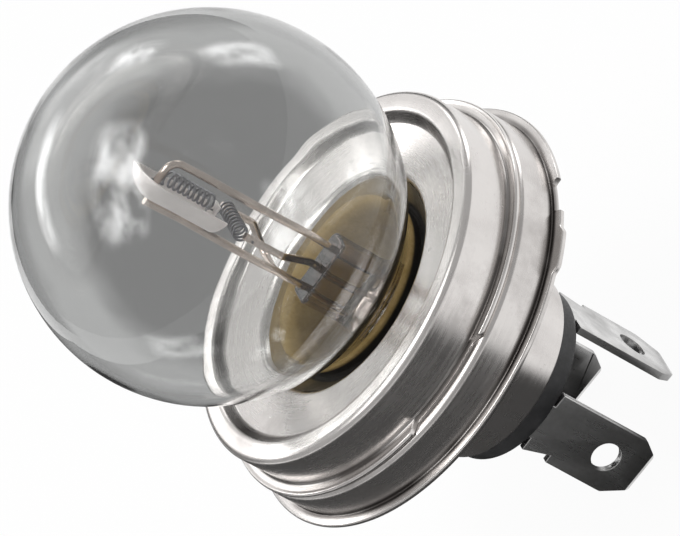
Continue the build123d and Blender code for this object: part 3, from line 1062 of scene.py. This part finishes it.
class BULB_OT_set_cement(bpy.types.Operator):
    """Fill the gap round the neck and the collar's funnel with cement"""

    bl_idname = "bulb.set_cement"
    bl_label = "Set the cement"

    def execute(self, context):
        colours = settings().finish
        glass = settings().glass
        low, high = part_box("cement_ring")
        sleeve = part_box("base_sleeve")[1]
        bore = sleeve.x - settings().cap.sleeve_wall
        neck = glass.neck_dia / 2 + WELD_GAP
        edge = Vector((high.x, high.z))
        bottom = Vector((neck + glass.film_wall + GROOVE_WIDTH, high.z - glass.cement_dip))
        outline = [
            edge,
            Vector((sleeve.x, sleeve.z)),
            Vector((bore, sleeve.z)),
            Vector((bore, low.z)),
            Vector((neck, low.z)),
        ]
        outline += film_line(glass) + hollow_line(glass, bottom, edge)
        piece = turn_piece("set_cement", outline, {
            "Segments": 420,
            "Waviness": glass.cement_waves,
            "Wave Scale": 420.0,
            "Seed": 2.0,
            "Finish": cement("cement", colours.cement, colours.cement_dark, colours.groove_shadow),
        })
        # Painted shadow in the groove, kept in a point attribute
        mark_painted_shadow(piece.data, glass, bottom)
        settle(piece, "cement", "cement_ring")
        return {"FINISHED"}


# Filaments and mount

# Points in one turn of a coil and in the bend of a leg
COIL_STEPS = 28
LEG_STEPS = 8
WIRE_SIDES = 12
WIRE_CREASE = radians(50.0)
SHIELD_EDGE = 0.08 * MM


def coil_line(wire, span, place):
    """Middle line of a filament: leg, coil and leg, with each point put in place."""
    radius = wire.coil_dia / 2
    bend = wire.leg_bend
    steps = COIL_STEPS * wire.turns
    helix = []
    for i in range(steps + 1):
        turn = 2 * pi * wire.turns * i / steps
        helix.append(Vector((radius * cos(turn), radius * sin(turn), span * i / steps)))
    up = Vector((0.0, 0.0, 1.0))

    def lead_in(first, first_way, last, last_way):
        """A smooth bend between two points and their directions."""
        gap = (last - first).length
        points = []
        for i in range(1, LEG_STEPS):
            t = i / LEG_STEPS
            points.append(
                first * (2 * t**3 - 3 * t**2 + 1)
                + first_way * (gap * (t**3 - 2 * t**2 + t))
                + last * (3 * t**2 - 2 * t**3)
                + last_way * (gap * (t**3 - t**2))
            )
        return points

    low = Vector((radius, -bend, -bend))
    high = Vector((radius, bend, span + bend))
    start_way = (helix[1] - helix[0]).normalized()
    end_way = (helix[-1] - helix[-2]).normalized()
    line = [low - up * wire.leg_length, low]
    line += lead_in(low, up, helix[0], start_way)
    line += helix
    line += lead_in(helix[-1], end_way, high, up)
    line += [high, high + up * wire.leg_length]
    return [place(Vector((p.y, -p.x, p.z))) for p in line]


class BULB_OT_wind_filaments(bpy.types.Operator):
    """Wind the two filament coils"""

    bl_idname = "bulb.wind_filaments"
    bl_label = "Wind the filaments"

    def execute(self, context):
        wire = settings().wire
        finish = drawn_metal(
            "tungsten",
            settings().finish.tungsten,
            darker=0.55,
            scale=900.0,
            rough=(0.32, 0.5),
            relief=0.2,
        )
        radius = (wire.coil_dia + wire.wire_dia) / 2
        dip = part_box("filament_dip")[0]
        dip_axis = dip.y + radius
        dip_start = dip.z + wire.leg_length + wire.leg_bend
        main_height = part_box("filament_main")[0].z + radius
        half = wire.main_length / 2
        coils = {
            "dip": (wire.dip_length, lambda p: Vector((p.x, p.y + dip_axis, p.z + dip_start))),
            "main": (wire.main_length, lambda p: Vector((p.z - half, p.x, p.y + main_height))),
        }
        tree = tree_named("Round wire", wire_tree)
        values = {"Radius": wire.wire_dia / 2, "Sides": WIRE_SIDES, "Finish": finish}
        for name, (span, place) in coils.items():
            line = line_mesh("coil_" + name, coil_line(wire, span, place))
            piece = shape_from_tree("coil_" + name, line, tree, values, WIRE_CREASE)
            settle(piece, "tungsten", "filament_" + name)
        return {"FINISHED"}


class BULB_OT_finish_mount(bpy.types.Operator):
    """Finish the lead wires, the shield and the solder inside the bulb"""

    bl_idname = "bulb.finish_mount"
    bl_label = "Finish the mount"

    def execute(self, context):
        colours = settings().finish
        lead = drawn_metal(
            "nickel wire", colours.lead, darker=0.75, scale=300.0, rough=(0.14, 0.26), relief=0.02
        )
        for node in ("lead_common", "lead_main", "lead_dip", "main_support"):
            paint(node, lead)
        sheet = drawn_metal(
            "shield sheet",
            colours.shield,
            darker=0.86,
            scale=250.0,
            rough=(0.4, 0.55),
            relief=0.04,
            metal=0.7,
        )
        piece = copy_solid("spoon_shield", "dip_shield", sheet, SHIELD_EDGE)
        settle(piece, "shield_sheet", "dip_shield")
        solder = drawn_metal(
            "solder", colours.solder, darker=0.7, scale=600.0, rough=(0.15, 0.35), relief=0.15
        )
        for place in ("common", "main", "dip"):
            paint("solder_" + place, solder)
        return {"FINISHED"}


# Insulator and blades

EASED_EDGE = 0.12 * MM


class BULB_OT_mould_insulator(bpy.types.Operator):
    """Mould the black insulator"""

    bl_idname = "bulb.mould_insulator"
    bl_label = "Mould the insulator"

    def execute(self, context):
        finish = black_moulding("black moulding", settings().finish.moulding)
        piece = copy_solid("moulded_insulator", "insulator", finish, EASED_EDGE)
        settle(piece, "black_moulding", "insulator")
        return {"FINISHED"}


class BULB_OT_stamp_blades(bpy.types.Operator):
    """Stamp the three blades with eased edges"""

    bl_idname = "bulb.stamp_blades"
    bl_label = "Stamp the blades"

    def execute(self, context):
        colours = settings().finish
        finish = blade_plate("plated blade", colours.blade, colours.blade_stain)
        for place in ("main", "dip", "common"):
            piece = copy_solid("blade_" + place, "terminal_" + place, finish, EASED_EDGE)
            settle(piece, "plated_blade", "terminal_" + place)
        return {"FINISHED"}


# Stage

FLOOR_REACH = 1.6
FLOOR_GAP = 0.02 * MM
SENSOR_WIDTH = 36.0

# The dark card: its slanting far edge, where that fades, and its other sides
CARD_LIFT = 0.3 * MM
CARD_SLANT = 0.34
CARD_EDGE = 7.0 * MM
CARD_SOFTNESS = 5.0 * MM
CARD_LEFT = -130.0 * MM
CARD_RIGHT = 160.0 * MM
CARD_FRONT = -200.0 * MM
DARK = (0.05, 0.05, 0.05, 1.0)


def flat_sheet(name, corners, finish):
    """A flat four-cornered sheet of the stage."""
    mesh = bpy.data.meshes.new(name)
    mesh.from_pydata(corners, [], [(0, 1, 2, 3)])
    mesh.materials.append(finish)
    sheet = put(name, mesh)
    return sheet


def soft_box(name, level, way, distance, size, seed, uneven):
    """A lamp that faces the bulb, with soft edges and an uneven face."""
    width, height = size
    lamp = bpy.data.lights.new(name, "AREA")
    lamp.shape = "RECTANGLE"
    lamp.size = width
    lamp.size_y = height
    lamp.energy = level * pi * width * height
    box = put(name, lamp)
    way = Vector(way).normalized()
    box.location = way * distance
    box.rotation_euler = way.to_track_quat("Z", "Y").to_euler()
    box.visible_camera = False
    lamp.use_nodes = True
    make = Nodes(lamp.node_tree)
    make.tree.nodes.clear()
    sides = make.split(make.add("ShaderNodeNewGeometry").outputs["Parametric"])
    glow = 1.0
    for side in (sides["X"], sides["Y"]):
        away = make.math("ABSOLUTE", make.minus(side, 0.5))
        glow = make.times(glow, make.fade(away, 0.5, 0.22))
    across = make.combine(sides["X"], sides["Y"], 0.0)
    spots = make.noise(across, scale=3.5, detail=3.0, roughness=0.55, seed=seed)
    glow = make.times(glow, make.ease(spots, 0.38, 0.62, 1.0 - uneven, 1.0 + uneven))
    light = make.out("ShaderNodeEmission", {"Strength": glow})
    make.add("ShaderNodeOutputLight", {"Surface": light})


def camera_place(stage):
    """Where the camera stands."""
    flat = stage.distance * cos(stage.tilt)
    rise = stage.distance * sin(stage.tilt)
    return Vector((flat * cos(stage.bearing), flat * sin(stage.bearing), rise))


def floor_finish(stage, ground):
    """A pale floor: plain white ground, grey seen through the globe, with a faint shadow."""
    make = Finish("pale floor", Metallic=0.0, Roughness=0.9, Base_Color=rgba(stage.floor))
    low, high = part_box("glass_envelope")
    globe = 0.5 * (high.x - low.x)
    eye = camera_place(stage)
    stretch = (eye.z - ground) / (eye.z - (high.z - globe))
    behind = eye.xy.length * (stretch - 1.0)
    sides = []
    for turn, start, foreshortened in (
        (stage.bearing, behind, sin(stage.tilt)),
        (stage.bearing + pi / 2, 0.0, 1.0),
    ):
        away = make.plus(make.along(make.place, (cos(turn), sin(turn), 0.0)), start)
        sides.append(make.times(away, foreshortened / (globe * stretch)))
    clouds = make.noise(make.place, scale=26.0, detail=3.0, roughness=0.5, seed=3.3)
    spot = make.math("MULTIPLY_ADD", clouds, 0.5, make.span(*sides))
    grey = make.fade(spot, 1.02, 1.45, stage.floor_in_glass, stage.floor_at_edge)
    rays = make.rays()
    seen = make.more(rays["Is Camera Ray"], rays["Is Glossy Ray"])
    seen = make.more(seen, rays["Is Transmission Ray"])
    through = make.times(rays["Is Transmission Ray"], make.minus(grey, 1.0))
    inputs = {"Color": WHITE, "Strength": make.plus(through, 1.0)}
    make.cover(make.times(seen, stage.floor_white), make.out("ShaderNodeEmission", inputs))
    return make.material


def dark_sheet(name, corners, make, gone):
    """A dark sheet of the stage that only plate and glass show, clear where it is gone."""
    make.shade(Base_Color=DARK)
    make.cover(gone, make.out("ShaderNodeBsdfTransparent"))
    sheet = flat_sheet(name, corners, make.material)
    sheet.visible_camera = False
    sheet.visible_diffuse = False
    sheet.visible_transmission = False
    sheet.visible_shadow = False


def lay_card(height):
    """A dark card on the floor with a soft slanting edge."""
    make = Finish("dark card", Roughness=0.8)
    past = make.along(make.place, (-CARD_SLANT, 1.0, 0.0))
    gone = make.fade(past, CARD_EDGE - CARD_SOFTNESS, CARD_EDGE + CARD_SOFTNESS)
    far = CARD_EDGE + CARD_SOFTNESS
    corners = [
        (CARD_LEFT, CARD_FRONT, height),
        (CARD_RIGHT, CARD_FRONT, height),
        (CARD_RIGHT, far + CARD_SLANT * CARD_RIGHT, height),
        (CARD_LEFT, far + CARD_SLANT * CARD_LEFT, height),
    ]
    dark_sheet("dark_card", corners, make, gone)


def hang_flag(name, bearing, distance, width, low, high):
    """A dark flag that stands behind the bulb, soft at its edges."""
    make = Finish(name, Roughness=0.8)
    along = Vector((-sin(bearing), cos(bearing), 0.0))
    across = make.math("ABSOLUTE", make.along(make.place, along))
    beside = make.fade(across, 0.25 * width, 0.5 * width)
    above = make.fade(make.split(make.place)["Z"], 0.5 * (low + high), high)
    middle = Vector((cos(bearing), sin(bearing), 0.0)) * distance
    corners = []
    for side, height in ((-0.5, low), (0.5, low), (0.5, high), (-0.5, high)):
        corners.append(middle + along * (side * width) + Vector((0.0, 0.0, height)))
    dark_sheet(name, corners, make, make.more(beside, above))


def room_light(stage):
    """A grey room that is white only where the camera looks past the floor."""
    world = bpy.data.worlds.new("grey room")
    world.use_nodes = True
    make = Nodes(world.node_tree)
    make.tree.nodes.clear()
    level = make.more(make.rays()["Is Camera Ray"], stage.room)
    glow = make.out("ShaderNodeBackground", {"Color": WHITE, "Strength": level})
    make.add("ShaderNodeOutputWorld", {"Surface": glow})
    bpy.context.scene.world = world


def aim_camera(stage):
    """The camera at the photograph's place."""
    place = camera_place(stage)
    back = place.normalized()
    level = Vector((-sin(stage.bearing), cos(stage.bearing), 0.0))
    rise = back.cross(level)
    across = level * cos(stage.roll) + rise * sin(stage.roll)
    up = rise * cos(stage.roll) - level * sin(stage.roll)
    sight = (place - across * stage.aim_across - up * stage.aim_up).normalized()
    across = (across - sight * across.dot(sight)).normalized()
    up = sight.cross(across)
    data = bpy.data.cameras.new("photo_camera")
    data.lens = stage.lens
    data.sensor_width = SENSOR_WIDTH
    data.sensor_fit = "HORIZONTAL"
    camera = put("photo_camera", data)
    turn = Matrix((across, up, sight)).transposed().to_4x4()
    camera.matrix_world = Matrix.Translation(place) @ turn
    bpy.context.scene.camera = camera


class BULB_OT_set_stage(bpy.types.Operator):
    """Lay the floor, hang the lamps and aim the camera"""

    bl_idname = "bulb.set_stage"
    bl_label = "Set the stage"

    def execute(self, context):
        stage = settings().stage
        ground = CAD_BOX[0][2] - FLOOR_GAP
        sides = ((-1, -1), (1, -1), (1, 1), (-1, 1))
        corners = [(x * FLOOR_REACH, y * FLOOR_REACH, ground) for x, y in sides]
        flat_sheet("floor", corners, floor_finish(stage, ground))
        lay_card(ground + CARD_LIFT)
        hang_flag("left_flag", radians(223.0), distance=0.4, width=0.42, low=ground, high=0.16)
        hang_flag("far_flag", radians(168.0), distance=0.38, width=0.36, low=ground, high=0.14)
        soft_box(
            "key_lamp", stage.key_level, (0.15, -0.14, 0.98),
            distance=0.35, size=(0.24, 0.46), seed=1.5, uneven=0.95,
        )
        soft_box(
            "side_lamp", stage.side_level, (-0.57, -0.55, 0.6),
            distance=0.4, size=(0.4, 0.08), seed=4.2, uneven=0.5,
        )
        soft_box(
            "back_panel", stage.back_level, (-0.85, -0.18, 0.48),
            distance=0.5, size=(0.5, 0.42), seed=7.1, uneven=0.4,
        )
        soft_box(
            "window", stage.window_level, (-0.6, 0.79, 0.2),
            distance=0.5, size=(0.2, 0.3), seed=2.6, uneven=0.6,
        )
        soft_box(
            "skylight", stage.skylight_level, (-0.81, 0.28, 0.51),
            distance=0.5, size=(0.18, 0.18), seed=5.3, uneven=0.7,
        )
        room_light(stage)
        aim_camera(stage)
        context.scene.view_settings.view_transform = "Standard"
        return {"FINISHED"}


# Panel and start

STEPS = (
    BULB_OT_press_cap,
    BULB_OT_blow_glass,
    BULB_OT_set_cement,
    BULB_OT_wind_filaments,
    BULB_OT_finish_mount,
    BULB_OT_mould_insulator,
    BULB_OT_stamp_blades,
    BULB_OT_set_stage,
)


class BULB_PT_steps(bpy.types.Panel):
    """The steps that dress the bulb, with its sizes and colours"""

    bl_idname = "BULB_PT_steps"
    bl_label = "Headlight bulb"
    bl_space_type = "VIEW_3D"
    bl_region_type = "UI"
    bl_category = "Bulb"

    def draw(self, context):
        for step in STEPS:
            self.layout.operator(step.bl_idname)
        for title in BulbSettings.__annotations__:
            group = getattr(context.scene.bulb, title)
            box = self.layout.box()
            box.label(text=title.capitalize())
            for name in type(group).__annotations__:
                box.prop(group, name)


GROUPS = (BulbCap, BulbGlass, BulbWire, BulbFinish, BulbStage, BulbSettings)
CLASSES = GROUPS + STEPS + (BULB_PT_steps,)


def register():
    for cls in CLASSES:
        bpy.utils.register_class(cls)
    bpy.types.Scene.bulb = PointerProperty(type=BulbSettings)


def unregister():
    del bpy.types.Scene.bulb
    for cls in reversed(CLASSES):
        bpy.utils.unregister_class(cls)


def main():
    """Make every piece and the stage."""
    register()
    bpy.ops.bulb.press_cap()
    bpy.ops.bulb.blow_glass()
    bpy.ops.bulb.set_cement()
    bpy.ops.bulb.wind_filaments()
    bpy.ops.bulb.finish_mount()
    bpy.ops.bulb.mould_insulator()
    bpy.ops.bulb.stamp_blades()
    bpy.ops.bulb.set_stage()


if __name__ == "__main__":
    main()
